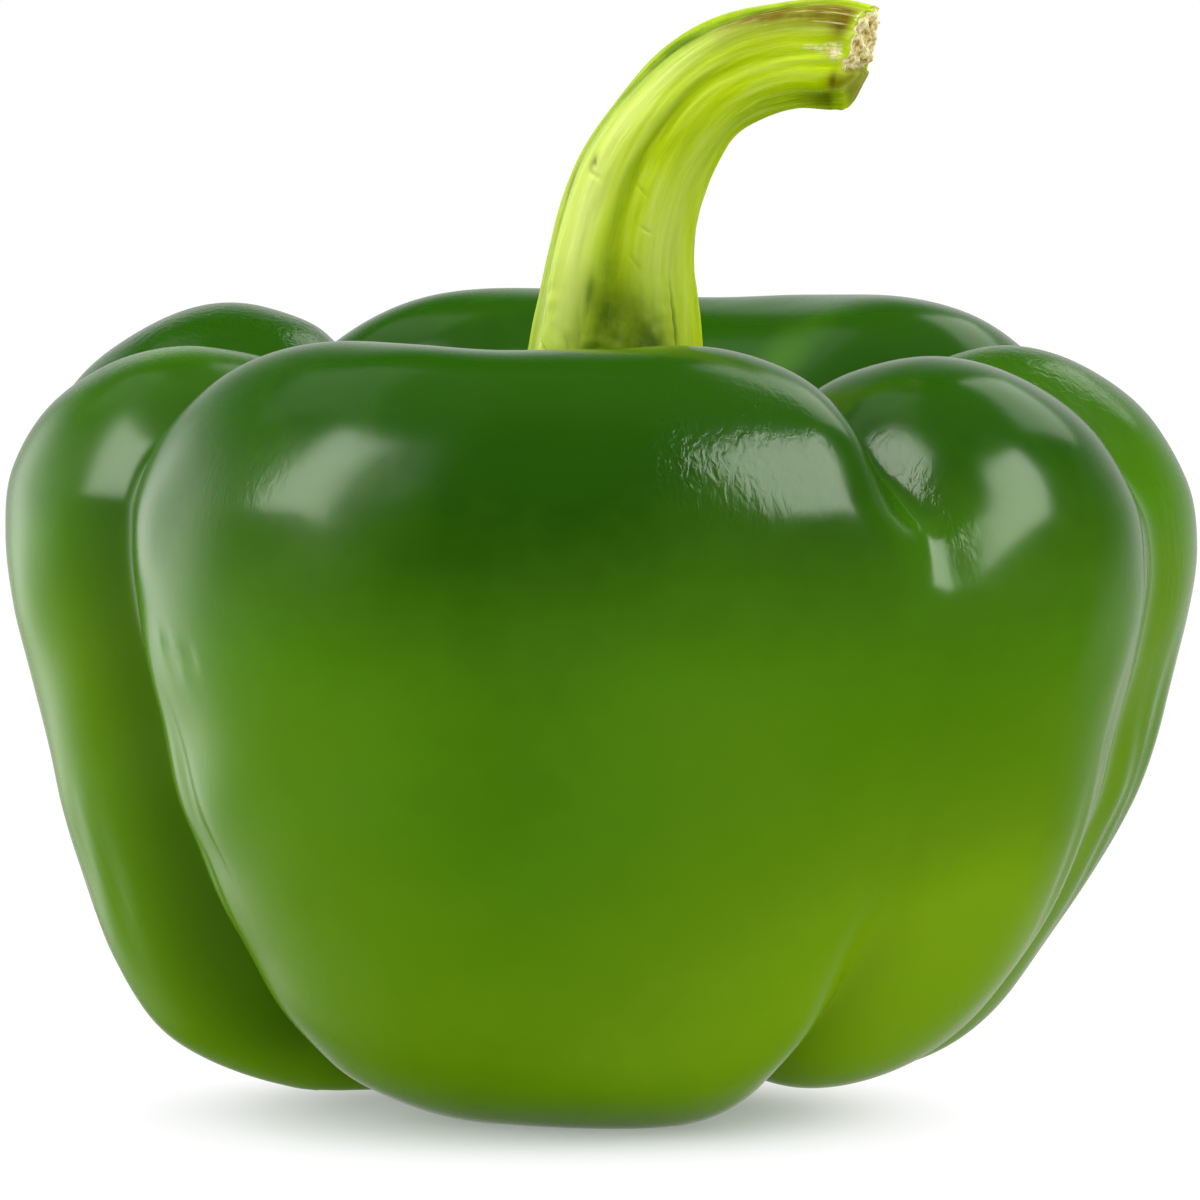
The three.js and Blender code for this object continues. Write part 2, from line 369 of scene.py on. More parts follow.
def linear(colour):
    """A hex sRGB colour as linear red, green and blue."""
    shares = [int(colour[i:i + 2], 16) / 255 for i in (1, 3, 5)]
    return tuple(s / 12.92 if s <= 0.04045 else ((s + 0.055) / 1.055) ** 2.4 for s in shares)


def smooth(low, high, value):
    """0 below low, 1 above high and an even S between them."""
    t = np.clip((value - low) / (high - low), 0, 1)
    return t * t * (3 - 2 * t)


def along(rows, t):
    """A smooth curve through rows of numbers, at t from 0 to 1, by Catmull-Rom."""
    rows = np.asarray(rows, float)
    last = len(rows) - 1
    place = np.clip(t, 0, 1) * last
    start = np.minimum(place.astype(int), last - 1)
    f = (place - start)[..., None]
    a, b, c, d = (rows[np.clip(start + step, 0, last)] for step in (-1, 0, 1, 2))
    return b + 0.5 * f * (c - a + f * (2 * a - 5 * b + 4 * c - d + f * (3 * (b - c) + d - a)))


def wrapped(degrees):
    """Degrees brought between -180 and 180."""
    return (degrees + 180) % 360 - 180


def of_lobes(azimuth, column):
    """One of the lobes' values at an azimuth, passing smoothly from lobe to lobe."""
    lobes = np.array(LOBES, float)
    away = np.radians(azimuth[..., None] - lobes[:, 0])
    weight = np.exp(LOBE_HOLD * (np.cos(away) - 1))
    return (weight * lobes[:, column]).sum(-1) / weight.sum(-1)


def groove_depth(azimuth, height, radius):
    """How deep the grooves together are."""
    crest = smooth(*GROOVE_CREST_HEIGHTS, height)
    foot = 1 - smooth(*GROOVE_FOOT_HEIGHTS, height)
    depth = np.zeros_like(height)
    for at, width, at_crest, at_side, at_foot, roundness, begins in GROOVES:
        away = wrapped(azimuth - at) / width
        fall = np.exp(roundness - np.hypot(away, roundness))
        full = at_crest * crest + at_side * (1 - crest - foot) + at_foot * foot
        depth += fall * full * smooth(begins, begins + GROOVE_SET_IN, radius)
    return depth


def cylinder_points(radius, azimuth, height):
    """Points from distance, azimuth in degrees and height."""
    turn = np.radians(azimuth)
    return np.stack(np.broadcast_arrays(radius * np.cos(turn), radius * np.sin(turn), height), -1)


def fruit_points(azimuth, t):
    """The fruit's surface: t runs along the meridian from the top to the blossom end."""
    radius, height = np.moveaxis(along(MERIDIAN, t), -1, 0)
    run = along(MERIDIAN, t + SHORT_STEP) - along(MERIDIAN, t - SHORT_STEP)
    out = np.stack([-run[..., 1], run[..., 0]], -1)
    out /= np.linalg.norm(out, axis=-1, keepdims=True)
    side = smooth(*FOOT_TO_SIDE, height)
    reach = side * of_lobes(azimuth, REACH) + (1 - side) * of_lobes(azimuth, FOOT_REACH)
    crest = smooth(*CREST_HEIGHTS, height) * smooth(*CREST_RADII, radius)
    foot = 1 - smooth(*FOOT_HEIGHTS, height)
    rise = crest * of_lobes(azimuth, CREST_RISE) + foot * of_lobes(azimuth, FOOT_RISE)
    depth = groove_depth(azimuth, height, radius)
    r = radius * (1 + (reach - 1) * smooth(*REACH_RADII, radius)) - depth * out[..., 0]
    return cylinder_points(r, azimuth, np.maximum(height + rise - depth * out[..., 1], 0))


def fruit_grid(steps_around, rings):
    """Azimuths, one in the bottom of each groove and more crowded beside it, and meridian places."""
    edges = [groove[0] for groove in GROOVES]
    edges.append(edges[0] + 360)
    lines = []
    for start, end in zip(edges, edges[1:]):
        steps = round((end - start) * steps_around / 360)
        t = np.arange(steps) / steps
        lines.append(start + (end - start) * (t - CROWDING * np.sin(2 * np.pi * t) / (2 * np.pi)))
    places = (np.arange(rings) + 1) / (rings + 1)
    return np.broadcast_arrays(np.concatenate(lines)[None, :], places[:, None])


def axis_shift():
    """From the axis that the form is drawn round to the origin, in millimetres."""
    points = fruit_points(*fruit_grid(*SURVEY_GRID)).reshape(-1, 3)
    x, y, _ = (points.min(0) + points.max(0)) / 2
    return np.array([-x, -y, 0])


def fit_to_box(pieces, low, high):
    """Lists of points moved and scaled together, so that their box is the given one."""
    everything = np.concatenate([points.reshape(-1, 3) for points in pieces])
    own_low, own_high = everything.min(0), everything.max(0)
    scale = (np.array(high) - low) / (own_high - own_low)
    return [low + (points - own_low) * scale for points in pieces]


def grid_normals(points):
    """Outward normals of a grid of rings, each ring anticlockwise, first ring on top."""
    onwards = np.gradient(points, axis=0)
    round_about = np.roll(points, -1, 1) - np.roll(points, 1, 1)
    normal = np.cross(onwards, round_about)
    return normal / np.maximum(np.linalg.norm(normal, axis=-1, keepdims=True), LEAST_LENGTH)


def swell(points, size, seed, waves=14):
    """A soft seeded unevenness between about -1 and 1, with bumps of a given size."""
    draw = np.random.default_rng(seed)
    total = np.zeros(points.shape[:-1])
    for _ in range(waves):
        way = draw.normal(size=3)
        way *= 2 * np.pi / size / np.linalg.norm(way)
        total += np.sin(points @ way + draw.uniform(0, 2 * np.pi))
    return total / np.sqrt(waves)


def patches(table, place, turn):
    """How strong the soft patches of a table are at a place and a turn or azimuth."""
    total = 0
    for at, turn_at, spread, turn_spread, strength in table:
        total = total + strength * np.exp(
            -((place - at) / spread) ** 2 - (wrapped(turn - turn_at) / turn_spread) ** 2,
        )
    return total


def nick_depth(across, onwards, width, length, depth, lean):
    """How deep one nick is: a short soft line that leans by some degrees."""
    turn = np.radians(lean)
    u = (across * np.cos(turn) + onwards * np.sin(turn)) / width
    v = (onwards * np.cos(turn) - across * np.sin(turn)) / length
    return depth * np.exp(-u * u - v * v)


def turned_table(table):
    """Rows of azimuth, height, their spreads and a strength, in the order that patches takes."""
    return [(height, at, rise, spread, much) for at, height, spread, rise, much in table]


def skin_relief(azimuth, points, unevenness):
    """How far the skin stands out from the plain form, clear of the flats and of the calyx."""
    height = points[..., 2]
    radius = np.hypot(points[..., 0], points[..., 1])
    uneven = swell(points, BROAD_UNEVENNESS, 5) + FINE_SHARE * swell(points, FINE_UNEVENNESS, 6)
    relief = unevenness * uneven
    relief += patches(turned_table(SKIN_SWELLS), height, azimuth)
    for at, level, *nick in SKIN_NICKS:
        relief -= nick_depth(np.radians(wrapped(azimuth - at)) * radius, height - level, *nick)
    return relief * smooth(*RELIEF_HEIGHTS, height) * smooth(*RELIEF_RADII, radius)


def skin_ripeness_and_light(azimuth, height):
    """From 0, the deep green of the crest, to 1, the painted glow of light through the thin skin at
    the right foot. The darker shoulders and lighter feet are partly the skin's own colour, partly
    painted shade and light.
    """
    fallen = sum(much * smooth(low, high, height) for low, high, much in RIPENESS_AND_LIGHT_FALLS)
    return RIPENESS_AND_LIGHT_AT_FOOT - fallen + patches(turned_table(RIPENESS_LIGHT_AND_SHADE_PATCHES), height, azimuth)


def skin_crease_shade(azimuth, points):
    """1 in the bottom of a groove and 0 on the lobes, where the grooves' painted shade goes."""
    radius = np.hypot(points[..., 0], points[..., 1])
    return smooth(*CREASE_SHADE_DEPTHS, groove_depth(azimuth, points[..., 2], radius))


def closed_faces(rings, sides):
    """Faces of a closed skin: a first point, rings of points, and a last point."""
    side = np.arange(sides)
    onward = (side + 1) % sides
    last = rings * sides + 1
    tail = last - sides
    faces = [(0, 1 + a, 1 + b) for a, b in zip(side, onward)]
    for ring in range(rings - 1):
        near = 1 + ring * sides
        far = near + sides
        faces += list(zip(near + side, far + side, far + onward, near + onward))
    faces += [(tail + a, last, tail + b) for a, b in zip(side, onward)]
    return [tuple(map(int, face)) for face in faces]


def new_piece(name, first, rings, last, material, node=None, values=None):
    """A closed, smooth mesh from rings of points in millimetres, riding on the part's body."""
    points = np.concatenate([first[None], rings.reshape(-1, 3), last[None]]) * MM
    mesh = bpy.data.meshes.new(name)
    mesh.from_pydata(points.tolist(), [], closed_faces(*rings.shape[:2]))
    mesh.shade_smooth()
    for label, numbers in (values or {}).items():
        flat = numbers.reshape(-1, *numbers.shape[2:])
        padded = np.concatenate([flat[:1], flat, flat[-1:]])
        kind, field = ("FLOAT", "value") if padded.ndim == 1 else ("FLOAT_VECTOR", "vector")
        mesh.attributes.new(label, kind, "POINT").data.foreach_set(field, padded.ravel())
    mesh.materials.append(material)
    piece = bpy.data.objects.new(name, mesh)
    bpy.context.scene.collection.objects.link(piece)
    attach(piece, "root")
    if node:
        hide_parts(node)


def add_node(tree, kind, inputs=None, take=0, stops=None, **settings):
    """Adds a node with its settings, its ramp's stops, and for each input a value or the output
    that feeds it. Gives the output that is named, or else its first one in use."""
    node = tree.nodes.new(kind)
    for name, value in settings.items():
        setattr(node, name, value)
    if stops:
        ramp = node.color_ramp.elements
        ramp.remove(ramp[1])
        ramp[0].position, ramp[0].color = stops[0][0], (*stops[0][1], 1)
        for position, colour in stops[1:]:
            ramp.new(position).color = (*colour, 1)
    for socket, value in (inputs or {}).items():
        if isinstance(value, bpy.types.NodeSocket):
            tree.links.new(value, node.inputs[socket])
        else:
            node.inputs[socket].default_value = value
    in_use = [output for output in node.outputs if output.enabled]
    return node.outputs[take] if take else next(iter(in_use), None)


def empty_material(name):
    """A node material without nodes, and the tree that they go in."""
    material = bpy.data.materials.new(name)
    material.use_nodes = True
    material.node_tree.nodes.clear()
    return material, material.node_tree


def per_metre(size_mm):
    """The texture scale at which one feature is that many millimetres."""
    return 1 / (size_mm * MM)


def waxy_skin(settings):
    """Pepper skin, a smooth cuticle under its natural wax: a soft clear gloss over deep green
    flesh that lets a little light in, with crinkles of about 1 mm where it has lost water."""
    material, tree = empty_material("waxy_pepper_skin")
    place = add_node(tree, "ShaderNodeTexCoord", take="Object")
    ripeness_and_light, crease, crinkle = (
        add_node(tree, "ShaderNodeAttribute", take="Fac", attribute_name=name)
        for name in ("ripeness_and_light", "crease", "crinkle")
    )
    clouds = add_node(tree, "ShaderNodeTexNoise", {
        "Vector": place, "Scale": per_metre(22), "Detail": 3.0, "Roughness": 0.5,
    })
    mottle = add_node(tree, "ShaderNodeTexNoise", {
        "Vector": place, "Scale": per_metre(2.4), "Detail": 2.0, "Roughness": 0.5,
    })
    uneven = add_node(tree, "ShaderNodeMix", {0: 0.2, 2: clouds, 3: mottle}, data_type="FLOAT")
    shift = add_node(tree, "ShaderNodeMapRange", {
        "Value": uneven, "From Min": 0.3, "From Max": 0.7, "To Min": -0.07, "To Max": 0.07,
    })
    tone = add_node(tree, "ShaderNodeMath", {0: ripeness_and_light, 1: shift}, operation="ADD", use_clamp=True)
    # The ramp paints the shoulders darker and the feet lighter, partly as the skin's own colour and
    # partly as painted shade and light. Its glow colour is painted light through the thin skin.
    ripened_and_lit = add_node(tree, "ShaderNodeValToRGB", {"Fac": tone}, stops=(
        (0, settings.crest_colour), (0.42, settings.side_colour), (0.75, settings.foot_colour),
        (1, settings.glow_colour),
    ))
    # Painted shade: the skin darkens toward the crease colour in the bottoms of the grooves.
    shaded = add_node(tree, "ShaderNodeMath", {0: crease, 1: 0.5}, operation="MULTIPLY")
    colour = add_node(tree, "ShaderNodeMix", {
        0: shaded, 6: ripened_and_lit, 7: (*settings.crease_shade_colour, 1),
    }, data_type="RGBA")
    stretched = add_node(tree, "ShaderNodeVectorMath", {
        0: place, 1: (1, 1, 0.22),
    }, operation="MULTIPLY")
    wrinkles = add_node(tree, "ShaderNodeTexNoise", {
        "Vector": stretched, "Scale": per_metre(0.7), "Detail": 2.0, "Roughness": 0.5,
        "Distortion": 0.6,
    })
    wrinkled = add_node(tree, "ShaderNodeMath", {0: wrinkles, 1: crinkle}, operation="MULTIPLY")
    pores = add_node(tree, "ShaderNodeMath", {0: mottle, 1: 0.16}, operation="MULTIPLY")
    relief = add_node(tree, "ShaderNodeMath", {0: wrinkled, 1: pores}, operation="ADD")
    bump = add_node(tree, "ShaderNodeBump", {
        "Height": relief, "Strength": 0.6, "Distance": 0.16 * MM,
    })
    gloss = add_node(tree, "ShaderNodeMapRange", {
        "Value": clouds, "From Min": 0.3, "From Max": 0.7, "To Min": settings.roughness - 0.03,
        "To Max": settings.roughness + 0.04,
    })
    shader = add_node(tree, "ShaderNodeBsdfPrincipled", {
        "Base Color": colour, "Roughness": gloss, "IOR": 1.42, "Specular IOR Level": 0.3,
        "Normal": bump, "Subsurface Weight": settings.flesh_light,
        "Subsurface Radius": (0.5, 1.0, 0.15), "Subsurface Scale": 2.5 * MM,
    })
    add_node(tree, "ShaderNodeOutputMaterial", {"Surface": shader})
    return material


def stem_tissue(settings):
    """Live pepper stem: firm satin fibres that streak it lengthwise, deeper green in its grooves,
    browned near its cut end, and pale, dry and rough where it is cut."""
    material, tree = empty_material("ribbed_stem_tissue")
    place = add_node(tree, "ShaderNodeTexCoord", take="Object")
    grain = add_node(tree, "ShaderNodeAttribute", take="Vector", attribute_name="grain")
    groove, pale, olive_and_shade, browned, dried = (
        add_node(tree, "ShaderNodeAttribute", take="Fac", attribute_name=name)
        for name in ("groove", "pale", "olive_and_shade", "browned", "dried")
    )
    # Vascular fibres are about 1 mm apart, with finer ones between them.
    fibres = add_node(tree, "ShaderNodeTexNoise", {
        "Vector": grain, "Scale": 1.0, "Detail": 5.0, "Roughness": 0.6,
    })
    blotches = add_node(tree, "ShaderNodeTexNoise", {
        "Vector": place, "Scale": per_metre(2.6), "Detail": 5.0, "Roughness": 0.62,
    })
    streaked = add_node(tree, "ShaderNodeValToRGB", {"Fac": fibres}, stops=(
        (0.1, settings.groove_colour), (0.5, settings.main_colour), (1, settings.pale_colour),
    ))
    in_shade = add_node(tree, "ShaderNodeMath", {0: groove, 1: 0.7}, operation="MULTIPLY")
    painted = add_node(tree, "ShaderNodeMix", {
        0: in_shade, 6: streaked, 7: (*settings.groove_colour, 1),
    }, data_type="RGBA")
    flecked = add_node(tree, "ShaderNodeMapRange", {
        "Value": blotches, "From Min": 0.35, "From Max": 0.6, "To Min": 0.75, "To Max": 1,
    })
    # The olive layer is partly dark patches and partly painted shade along the stem's outer edge.
    for mark, paint in (
        (pale, settings.pale_colour), (olive_and_shade, settings.olive_and_shade_colour),
        (browned, settings.brown_colour),
    ):
        broken_up = add_node(tree, "ShaderNodeMath", {0: mark, 1: flecked}, operation="MULTIPLY")
        painted = add_node(tree, "ShaderNodeMix", {
            0: broken_up, 6: painted, 7: (*paint, 1),
        }, data_type="RGBA")
    # Fine pale scratches, about 0.3 mm wide, show on the browned skin.
    scratches = add_node(tree, "ShaderNodeTexNoise", {
        "Vector": grain, "Scale": 3.2, "Detail": 3.0, "Roughness": 0.7,
    })
    scratched = add_node(tree, "ShaderNodeMapRange", {
        "Value": scratches, "From Min": 0.58, "From Max": 0.72, "To Max": 0.5,
    })
    bright = add_node(tree, "ShaderNodeMath", {0: scratched, 1: browned}, operation="MULTIPLY")
    worn = add_node(tree, "ShaderNodeMix", {
        0: bright, 6: painted, 7: (*settings.dry_colour, 1),
    }, data_type="RGBA")
    # The cut face is a mat of fibre ends about 0.5 mm across.
    ends = add_node(tree, "ShaderNodeTexNoise", {
        "Vector": place, "Scale": per_metre(0.8), "Detail": 6.0, "Roughness": 0.75,
    })
    dry = add_node(tree, "ShaderNodeValToRGB", {"Fac": ends}, stops=(
        (0.34, linear("#5A4420")), (0.43, linear("#B09A52")), (0.54, settings.dry_colour),
        (0.7, linear("#F4ECCB")),
    ))
    frayed = add_node(tree, "ShaderNodeMath", {0: dried, 1: scratches}, operation="ADD")
    bare = add_node(tree, "ShaderNodeMapRange", {
        "Value": frayed, "From Min": 0.9, "From Max": 1.25,
    })
    colour = add_node(tree, "ShaderNodeMix", {0: bare, 6: worn, 7: dry}, data_type="RGBA")
    rough = add_node(tree, "ShaderNodeMath", {0: ends, 1: bare}, operation="MULTIPLY")
    relief = add_node(tree, "ShaderNodeMath", {0: fibres, 1: rough}, operation="ADD")
    bump = add_node(tree, "ShaderNodeBump", {
        "Height": relief, "Strength": 0.6, "Distance": 0.3 * MM,
    })
    roughness = add_node(tree, "ShaderNodeMapRange", {"Value": bare, "To Min": 0.42, "To Max": 0.9})
    shader = add_node(tree, "ShaderNodeBsdfPrincipled", {
        "Base Color": colour, "Roughness": roughness, "IOR": 1.42, "Specular IOR Level": 0.08,
        "Normal": bump, "Subsurface Weight": 0.2, "Subsurface Radius": (0.8, 1.0, 0.25),
        "Subsurface Scale": 1.2 * MM,
    })
    add_node(tree, "ShaderNodeOutputMaterial", {"Surface": shader})
    return material


def sepal_tissue(settings):
    """Leaf-like sepals fused to a saucer: satin, veined from the stem out, dry at their points."""
    material, tree = empty_material("veined_sepal_tissue")
    place = add_node(tree, "ShaderNodeTexCoord", take="Object")
    vein = add_node(tree, "ShaderNodeAttribute", take="Fac", attribute_name="vein")
    outward = add_node(tree, "ShaderNodeAttribute", take="Fac", attribute_name="outward")
    blotches = add_node(tree, "ShaderNodeTexNoise", {
        "Vector": place, "Scale": per_metre(2.2), "Detail": 4.0, "Roughness": 0.6,
    })
    ground = add_node(tree, "ShaderNodeValToRGB", {"Fac": blotches}, stops=(
        (0.35, settings.green_colour), (0.62, settings.thin_colour),
    ))
    pale = add_node(tree, "ShaderNodeMath", {0: vein, 1: 0.5}, operation="MULTIPLY")
    veined = add_node(tree, "ShaderNodeMix", {
        0: pale, 6: ground, 7: (*settings.vein_colour, 1),
    }, data_type="RGBA")
    ageing = add_node(tree, "ShaderNodeMath", {0: outward, 1: blotches}, operation="ADD")
    dry = add_node(tree, "ShaderNodeMapRange", {
        "Value": ageing, "From Min": 1.35, "From Max": 1.6, "To Max": 0.85,
    })
    colour = add_node(tree, "ShaderNodeMix", {
        0: dry, 6: veined, 7: (*settings.dry_colour, 1),
    }, data_type="RGBA")
    bump = add_node(tree, "ShaderNodeBump", {
        "Height": blotches, "Strength": 0.4, "Distance": 0.2 * MM,
    })
    shader = add_node(tree, "ShaderNodeBsdfPrincipled", {
        "Base Color": colour, "Roughness": 0.48, "IOR": 1.42, "Specular IOR Level": 0.4,
        "Normal": bump, "Subsurface Weight": 0.1, "Subsurface Radius": (0.6, 1.0, 0.2),
        "Subsurface Scale": 0.8 * MM,
    })
    add_node(tree, "ShaderNodeOutputMaterial", {"Surface": shader})
    return material


def corky_scar(settings):
    """The dried base of the flower: corky, matt and tan, with grains of about half a millimetre."""
    material, tree = empty_material("corky_blossom_scar")
    place = add_node(tree, "ShaderNodeTexCoord", take="Object")
    cork = add_node(tree, "ShaderNodeTexNoise", {
        "Vector": place, "Scale": per_metre(0.6), "Detail": 4.0, "Roughness": 0.65,
    })
    colour = add_node(tree, "ShaderNodeValToRGB", {"Fac": cork}, stops=(
        (0.35, settings.dark_colour), (0.62, settings.tan_colour),
    ))
    bump = add_node(tree, "ShaderNodeBump", {
        "Height": cork, "Strength": 0.7, "Distance": 0.2 * MM,
    })
    shader = add_node(tree, "ShaderNodeBsdfPrincipled", {
        "Base Color": colour, "Roughness": 0.85, "IOR": 1.45, "Normal": bump,
    })
    add_node(tree, "ShaderNodeOutputMaterial", {"Surface": shader})
    return material


def lit_acrylic(settings):
    """A light table's opal acrylic: matt, with a fine tooth, and glowing. The glow is painted light,
    full everywhere so that it fills in the shadows, but dimmed under the front of the pepper, so
    that a soft shadow shows there and nowhere else."""
    material, tree = empty_material("opal_acrylic")
    place = add_node(tree, "ShaderNodeTexCoord", take="Object")
    tooth = add_node(tree, "ShaderNodeTexNoise", {
        "Vector": place, "Scale": per_metre(2), "Detail": 2.0,
    })
    x, y = settings.dim_middle
    across, along_table = settings.dim_size
    dim = add_node(tree, "ShaderNodeMapping", {
        "Vector": place, "Location": (-x / across, -y / along_table, 0),
        "Scale": (1 / across, 1 / along_table, 1),
    })
    nearness = add_node(tree, "ShaderNodeTexGradient", {
        "Vector": dim,
    }, take="Fac", gradient_type="SPHERICAL")
    dimmed = add_node(tree, "ShaderNodeMapRange", {
        "Value": nearness, "From Max": 0.6,
    }, interpolation_type="SMOOTHSTEP")
    toothed = add_node(tree, "ShaderNodeMapRange", {"Value": tooth, "To Min": 0.96, "To Max": 1})
    share = add_node(tree, "ShaderNodeMath", {0: dimmed, 1: toothed}, operation="MULTIPLY")
    colour = add_node(tree, "ShaderNodeMix", {
        0: share, 6: (0, 0, 0, 1), 7: (*settings.board_colour, 1),
    }, data_type="RGBA")
    # Painted light: the glow fills the table's shadows, except in the dimmed part under the front of
    # the pepper.
    glow = add_node(tree, "ShaderNodeMapRange", {
        "Value": dimmed, "To Min": 1, "To Max": settings.board_glow,
    })
    shader = add_node(tree, "ShaderNodeBsdfPrincipled", {
        "Base Color": colour, "Roughness": 0.9, "Specular IOR Level": 0.1,
        "Emission Color": (1, 1, 1, 1), "Emission Strength": glow,
    })
    add_node(tree, "ShaderNodeOutputMaterial", {"Surface": shader})
    return material


def colour_setting(name, description, hex_colour):
    """A colour property with an sRGB default."""
    return FloatVectorProperty(
        name=name, description=description, default=linear(hex_colour), subtype="COLOR", size=3,
        min=0, max=1,
    )


def share_setting(name, description, default):
    """A property from 0 to 1."""
    return FloatProperty(
        name=name, description=description, default=default, min=0, max=1, subtype="FACTOR",
    )


def length_setting(name, description, metres):
    """A length property."""
    return FloatProperty(
        name=name, description=description, default=metres, min=0, unit="LENGTH",
        subtype="DISTANCE",
    )


def level_setting(name, description, default):
    """A brightness, where 1 is that of white."""
    return FloatProperty(name=name, description=description, default=default, min=0)


def count_setting(name, description, default, least):
    """A whole number of at least some size."""
    return IntProperty(name=name, description=description, default=default, min=least)


class PepperSkinSettings(bpy.types.PropertyGroup):
    """The fruit's skin."""

    crest_colour: colour_setting("Crest", "Skin on the shoulders and in the hollow", "#1C4401")
    side_colour: colour_setting("Side", "Skin halfway down the lobes", "#447301")
    foot_colour: colour_setting("Foot", "Skin near the feet", "#598201")
    # The glow colour is painted light through the thin skin at the right foot.
    glow_colour: colour_setting("Glow", "Thin yellowing skin", "#6E9402")
    # The crease colour is painted shade in the grooves.
    crease_shade_colour: colour_setting("Crease", "Skin down in the grooves", "#1A4001")
    roughness: share_setting("Roughness", "Roughness of the waxy skin", 0.2)
    flesh_light: share_setting("Flesh light", "How much light passes through the flesh", 0.08)
    unevenness: length_setting("Unevenness", "Height of the soft swells in the skin", 0.28 * MM)
    steps_around: count_setting("Steps around", "Mesh lines round the fruit", 450, 60)
    rings: count_setting("Rings", "Rings from the hollow to the blossom end", 215, 20)


class PepperCalyxSettings(bpy.types.PropertyGroup):
    """The calyx."""

    green_colour: colour_setting("Green", "Sepals", "#47700C")
    thin_colour: colour_setting("Thin", "Sepals where they are thin", "#7A9A20")
    vein_colour: colour_setting("Veins", "Veins of the sepals", "#A9BE58")
    dry_colour: colour_setting("Dry", "Dry points", "#6E5E28")
    vein_height: length_setting("Vein height", "How far the veins stand up", 0.3 * MM)
    steps_around: count_setting("Steps around", "Mesh lines round the calyx", 300, 60)


class PepperStemSettings(bpy.types.PropertyGroup):
    """The stem."""

    groove_colour: colour_setting("Groove", "Deeper green in the grooves", "#82A001")
    main_colour: colour_setting("Main", "Yellow-green of the stem", "#B2CA03")
    pale_colour: colour_setting("Pale", "Whitish bands and streaks", "#CEDC74")
    # The olive colour is partly dark patches and partly painted shade on the stem's outer edge.
    olive_and_shade_colour: colour_setting("Olive", "Dark patches", "#4A6602")
    brown_colour: colour_setting("Brown", "Browned skin near the cut end", "#5E4C04")
    dry_colour: colour_setting("Dry", "Dry fibres of the cut end", "#DDD2A0")
    fibre_height: length_setting("Fibre height", "How far the fibres stand out", 0.05 * MM)
    steps_around: count_setting("Steps around", "Mesh lines round the stem", 240, 60)
    rings: count_setting("Rings", "Rings along the stem", 360, 60)


class PepperScarSettings(bpy.types.PropertyGroup):
    """The blossom scar on the underside."""

    dark_colour: colour_setting("Dark", "Dark cork", "#4A3A1C")
    tan_colour: colour_setting("Tan", "Light cork", "#A08A52")
    unevenness: length_setting("Unevenness", "Height of the cork's bumps", 0.15 * MM)


class PepperStudioSettings(bpy.types.PropertyGroup):
    """The studio."""

    board_colour: colour_setting("Board", "Acrylic of the light table", "#C8CCCA")
    board_glow: share_setting("Board glow", "How brightly the dimmed part glows", 0.28)
    dim_middle: FloatVectorProperty(
        name="Dim middle", description="Middle of the dimmed part", default=(-0.005, -0.017),
        size=2, subtype="TRANSLATION", unit="LENGTH",
    )
    dim_size: FloatVectorProperty(
        name="Dim size", description="How far the dimmed part reaches", default=(0.036, 0.030),
        size=2, min=0.001, subtype="XYZ_LENGTH", unit="LENGTH",
    )
    board_radius: length_setting("Board radius", "Radius of the round light table", 0.16)
    board_set_back: length_setting("Board set back", "How far its middle is behind", 0.06)
    card_brightness: level_setting("Cards", "Share of the cards' brightness", 1)
    softbox_brightness: level_setting("Softbox", "Share of the softbox's brightness", 1)
    surround: level_setting("Surround", "Brightness of the white surround", 1.02)
    surround_left: level_setting("Surround left", "Brightness of the window side", 1.85)
    surround_right: level_setting("Surround right", "Brightness of the right side", 1.55)
    mirrored_left: level_setting("Mirrored left", "How bright the gloss shows the left side", 0.24)
    mirrored_rear: level_setting("Mirrored rear", "How bright it shows the rear left", 3)
    mirrored_backdrop: level_setting("Mirrored backdrop", "How bright it shows the rear", 0.75)


class PEPPER_OT_grow_fruit(bpy.types.Operator):
    """Grow the fruit: eight lobes with their grooves, soft swells, nicks and crinkles"""

    bl_idname = "pepper.grow_fruit"
    bl_label = "Grow fruit"

    def execute(self, context):
        settings = context.scene.pepper_skin
        azimuth, t = fruit_grid(settings.steps_around, settings.rings)
        plain = fruit_points(azimuth, t)
        relief = skin_relief(azimuth, plain, settings.unevenness / MM)
        skin = plain + grid_normals(plain) * relief[..., None]
        ends = fruit_points(np.zeros(2), np.array([0.0, 1.0]))
        low, high = (np.array(corner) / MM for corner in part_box("fruit"))
        skin, (top, bottom) = fit_to_box([skin, ends], low, high)
        height = plain[..., 2]
        new_piece("fruit_skin", top, skin, bottom, waxy_skin(settings), "fruit", {
            "ripeness_and_light": skin_ripeness_and_light(azimuth, height),
            "crease": skin_crease_shade(azimuth, plain),
            "crinkle": patches(turned_table(CRINKLES), height, azimuth),
        })
        return {"FINISHED"}


class PEPPER_OT_grow_calyx(bpy.types.Operator):
    """Grow the calyx: a saucer of six fused sepals with veins, which follows the hollow"""

    bl_idname = "pepper.grow_calyx"
    bl_label = "Grow calyx"

    def execute(self, context):
        settings = context.scene.pepper_calyx
        azimuth = np.linspace(0, 360, settings.steps_around, endpoint=False)[None, :]
        upper = np.linspace(*UPPER_RINGS)[:, None]
        under = np.linspace(*UNDER_RINGS)[:, None]
        rings = np.concatenate([
            calyx_upper(azimuth, upper, settings.vein_height / MM),
            calyx_under(azimuth, under),
        ]) + axis_shift()
        vein = vein_lines(azimuth) * np.concatenate([smooth(*VEINS_PALE, upper), 0 * under])
        outward = np.broadcast_to(np.concatenate([upper, under]), vein.shape)
        new_piece(
            "calyx_saucer", rings[0].mean(0), rings, rings[-1].mean(0), sepal_tissue(settings),
            "calyx", {"vein": vein, "outward": outward},
        )
        return {"FINISHED"}


